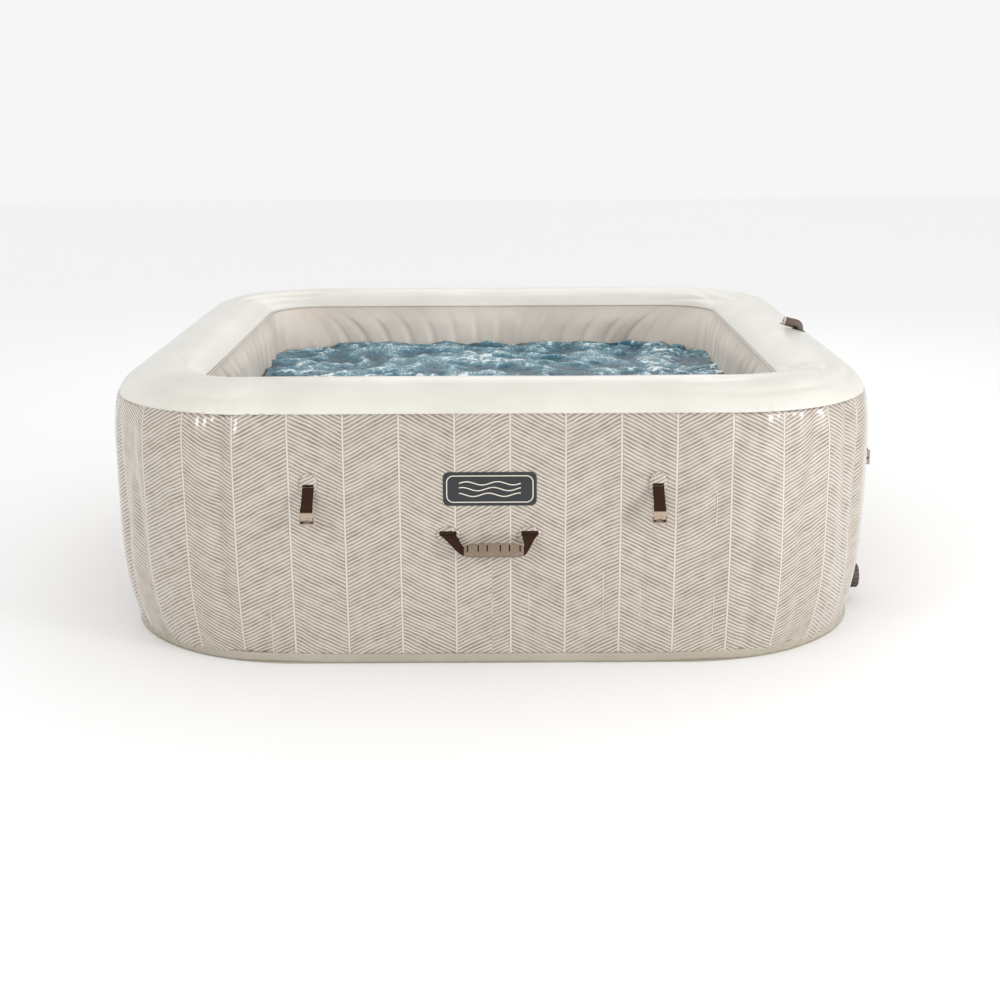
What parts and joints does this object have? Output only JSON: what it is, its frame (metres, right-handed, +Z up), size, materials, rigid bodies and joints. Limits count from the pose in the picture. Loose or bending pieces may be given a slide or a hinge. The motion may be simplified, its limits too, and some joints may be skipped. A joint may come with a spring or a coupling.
{
  "type": "inflatable hot tub",
  "caption": "Square inflatable hot tub with rounded corners, a puffed rim, hose ports, drain, inflation valve, carry handles and hanging cover buckles.",
  "frame": {"origin": "middle of the base, on the ground", "axes": "+Z up; -Y towards the side with the badge; +X towards the side with the hose ports"},
  "size_m": [2.1074, 2.108, 0.745],
  "materials": {
    "printed_vinyl": "laminated vinyl printed with a light woven chevron",
    "rim_vinyl": "smooth off-white vinyl",
    "pool_vinyl": "smooth taupe vinyl",
    "base_vinyl": "smooth vinyl",
    "web_mesh": "coated mesh",
    "webbing": "woven polypropylene webbing",
    "beige_plastic": "moulded",
    "badge_plastic": "moulded, satin",
    "seal_rubber": "soft rubber",
    "spring_steel": "drawn wire",
    "hose_vinyl": "extruded",
    "light_plastic": "moulded",
    "brown_plastic": "moulded"
  },
  "bodies": {
    "tub": {"air_inlet_elbow": "brown_plastic", "air_inlet_flange": "brown_plastic", "air_riser_hose": "hose_vinyl", "badge_plate": "badge_plastic", "base_band": "base_vinyl", "base_sheet": "base_vinyl", "bubble_ring": "pool_vinyl", "drain_body": "brown_plastic", "drain_gasket": "seal_rubber", "drain_inner_grille": "brown_plastic", "drain_pipe": "hose_vinyl", "floor_sheet": "pool_vinyl", "handle_patches": "base_vinyl", "inflation_valve_base": "light_plastic", "inflation_valve_guide": "light_plastic", "inflation_valve_spring": "spring_steel", "inner_seam_bead": "rim_vinyl", "inner_wall_corners": "pool_vinyl", "inner_wall_sides": "pool_vinyl", "outer_wall": "printed_vinyl", "rim": "rim_vinyl", "strap_patches": "base_vinyl", "wall_webs": "web_mesh", "water_inlet_fitting": "brown_plastic", "water_inlet_gasket": "seal_rubber", "water_inlet_inner_flange": "brown_plastic", "water_inlet_pipe": "hose_vinyl", "water_outlet_fitting": "brown_plastic", "water_outlet_gasket": "seal_rubber", "water_outlet_inner_flange": "brown_plastic", "water_outlet_pipe": "hose_vinyl"},
    "strap_front_a": {"cover_strap_front_a": "webbing"},
    "buckle_front_a": {"cover_buckle_front_a": "beige_plastic"},
    "strap_front_b": {"cover_strap_front_b": "webbing"},
    "buckle_front_b": {"cover_buckle_front_b": "beige_plastic"},
    "strap_right_a": {"cover_strap_right_a": "webbing"},
    "buckle_right_a": {"cover_buckle_right_a": "beige_plastic"},
    "strap_right_b": {"cover_strap_right_b": "webbing"},
    "buckle_right_b": {"cover_buckle_right_b": "beige_plastic"},
    "strap_back_a": {"cover_strap_back_a": "webbing"},
    "buckle_back_a": {"cover_buckle_back_a": "beige_plastic"},
    "strap_back_b": {"cover_strap_back_b": "webbing"},
    "buckle_back_b": {"cover_buckle_back_b": "beige_plastic"},
    "strap_left_a": {"cover_strap_left_a": "webbing"},
    "buckle_left_a": {"cover_buckle_left_a": "beige_plastic"},
    "strap_left_b": {"cover_strap_left_b": "webbing"},
    "buckle_left_b": {"cover_buckle_left_b": "beige_plastic"},
    "front_handle": {"handle_webbing_front": "webbing", "handle_grip_front": "beige_plastic"},
    "back_handle": {"handle_webbing_back": "webbing", "handle_grip_back": "beige_plastic"},
    "drain_cap": {"drain_cap": "brown_plastic"},
    "air_cap": {"air_inlet_end_cap": "light_plastic"},
    "outlet_strainer": {"water_outlet_strainer": "brown_plastic"},
    "inlet_strainer": {"water_inlet_strainer": "brown_plastic"},
    "valve_cap": {"inflation_valve_cap": "light_plastic"},
    "valve_stem": {"inflation_valve_stem": "light_plastic", "inflation_valve_spring_seat": "light_plastic"}
  },
  "joints": [
    {"name": "strap_front_a_lift", "type": "hinge", "parent": "tub", "child": "strap_front_a", "pos_m": [-0.446, -1.0034, 0.462], "axis": [-1, 0, 0], "range_deg": [-18, 75], "stiffness_Nm_per_rad": 0.05, "springref_deg": 3.44},
    {"name": "buckle_front_a_swing", "type": "hinge", "parent": "strap_front_a", "child": "buckle_front_a", "pos_m": [-0.446, -1.04724, 0.41816], "axis": [-1, 0, 0], "range_deg": [-15, 75]},
    {"name": "strap_front_b_lift", "type": "hinge", "parent": "tub", "child": "strap_front_b", "pos_m": [0.406, -1.0034, 0.462], "axis": [-1, 0, 0], "range_deg": [-18, 75], "stiffness_Nm_per_rad": 0.05, "springref_deg": 3.44},
    {"name": "buckle_front_b_swing", "type": "hinge", "parent": "strap_front_b", "child": "buckle_front_b", "pos_m": [0.406, -1.04724, 0.41816], "axis": [-1, 0, 0], "range_deg": [-15, 75]},
    {"name": "strap_right_a_lift", "type": "hinge", "parent": "tub", "child": "strap_right_a", "pos_m": [1.0034, -0.446, 0.462], "axis": [0, -1, 0], "range_deg": [-18, 75], "stiffness_Nm_per_rad": 0.05, "springref_deg": 3.44},
    {"name": "buckle_right_a_swing", "type": "hinge", "parent": "strap_right_a", "child": "buckle_right_a", "pos_m": [1.04724, -0.446, 0.41816], "axis": [0, -1, 0], "range_deg": [-15, 75]},
    {"name": "strap_right_b_lift", "type": "hinge", "parent": "tub", "child": "strap_right_b", "pos_m": [1.0034, 0.406, 0.462], "axis": [0, -1, 0], "range_deg": [-18, 75], "stiffness_Nm_per_rad": 0.05, "springref_deg": 3.44},
    {"name": "buckle_right_b_swing", "type": "hinge", "parent": "strap_right_b", "child": "buckle_right_b", "pos_m": [1.04724, 0.406, 0.41816], "axis": [0, -1, 0], "range_deg": [-15, 75]},
    {"name": "strap_back_a_lift", "type": "hinge", "parent": "tub", "child": "strap_back_a", "pos_m": [0.446, 1.0034, 0.462], "axis": [1, 0, 0], "range_deg": [-18, 75], "stiffness_Nm_per_rad": 0.05, "springref_deg": 3.44},
    {"name": "buckle_back_a_swing", "type": "hinge", "parent": "strap_back_a", "child": "buckle_back_a", "pos_m": [0.446, 1.04724, 0.41816], "axis": [1, 0, 0], "range_deg": [-15, 75]},
    {"name": "strap_back_b_lift", "type": "hinge", "parent": "tub", "child": "strap_back_b", "pos_m": [-0.406, 1.0034, 0.462], "axis": [1, 0, 0], "range_deg": [-18, 75], "stiffness_Nm_per_rad": 0.05, "springref_deg": 3.44},
    {"name": "buckle_back_b_swing", "type": "hinge", "parent": "strap_back_b", "child": "buckle_back_b", "pos_m": [-0.406, 1.04724, 0.41816], "axis": [1, 0, 0], "range_deg": [-15, 75]},
    {"name": "strap_left_a_lift", "type": "hinge", "parent": "tub", "child": "strap_left_a", "pos_m": [-1.0034, 0.446, 0.462], "axis": [0, 1, 0], "range_deg": [-18, 75], "stiffness_Nm_per_rad": 0.05, "springref_deg": 3.44},
    {"name": "buckle_left_a_swing", "type": "hinge", "parent": "strap_left_a", "child": "buckle_left_a", "pos_m": [-1.04724, 0.446, 0.41816], "axis": [0, 1, 0], "range_deg": [-15, 75]},
    {"name": "strap_left_b_lift", "type": "hinge", "parent": "tub", "child": "strap_left_b", "pos_m": [-1.0034, -0.406, 0.462], "axis": [0, 1, 0], "range_deg": [-18, 75], "stiffness_Nm_per_rad": 0.05, "springref_deg": 3.44},
    {"name": "buckle_left_b_swing", "type": "hinge", "parent": "strap_left_b", "child": "buckle_left_b", "pos_m": [-1.04724, -0.406, 0.41816], "axis": [0, 1, 0], "range_deg": [-15, 75]},
    {"name": "front_handle_lift", "type": "hinge", "parent": "tub", "child": "front_handle", "pos_m": [-0.007, -1.0034, 0.34], "axis": [-1, 0, 0], "range_deg": [-28, 95], "stiffness_Nm_per_rad": 0.1, "springref_deg": 7.45},
    {"name": "back_handle_lift", "type": "hinge", "parent": "tub", "child": "back_handle", "pos_m": [0.007, 1.0034, 0.34], "axis": [1, 0, 0], "range_deg": [-28, 95], "stiffness_Nm_per_rad": 0.1, "springref_deg": 7.45},
    {"name": "drain_cap_turn", "type": "hinge", "parent": "tub", "child": "drain_cap", "pos_m": [1.02, -0.506, 0.07], "axis": [1, 0, 0], "continuous": true},
    {"name": "air_cap_turn", "type": "hinge", "parent": "tub", "child": "air_cap", "pos_m": [0.86709, -0.11, 0.73137], "axis": [-0.9703, 0, 0.2419], "continuous": true},
    {"name": "outlet_strainer_turn", "type": "hinge", "parent": "tub", "child": "outlet_strainer", "pos_m": [0.715, -0.23, 0.19], "axis": [1, 0, 0], "range_deg": [0, 90]},
    {"name": "inlet_strainer_turn", "type": "hinge", "parent": "tub", "child": "inlet_strainer", "pos_m": [0.715, 0.046, 0.19], "axis": [1, 0, 0], "range_deg": [0, 90]},
    {"name": "valve_cap_swing", "type": "hinge", "parent": "tub", "child": "valve_cap", "pos_m": [1.0046, 0.322, 0.5735], "axis": [0, -1, 0], "range_deg": [0, 150]},
    {"name": "valve_stem_press", "type": "slide", "parent": "tub", "child": "valve_stem", "axis": [-1, 0, 0], "range_m": [0, 0.004], "stiffness_N_per_m": 300, "deforming": ["inflation_valve_spring"]}
  ]
}
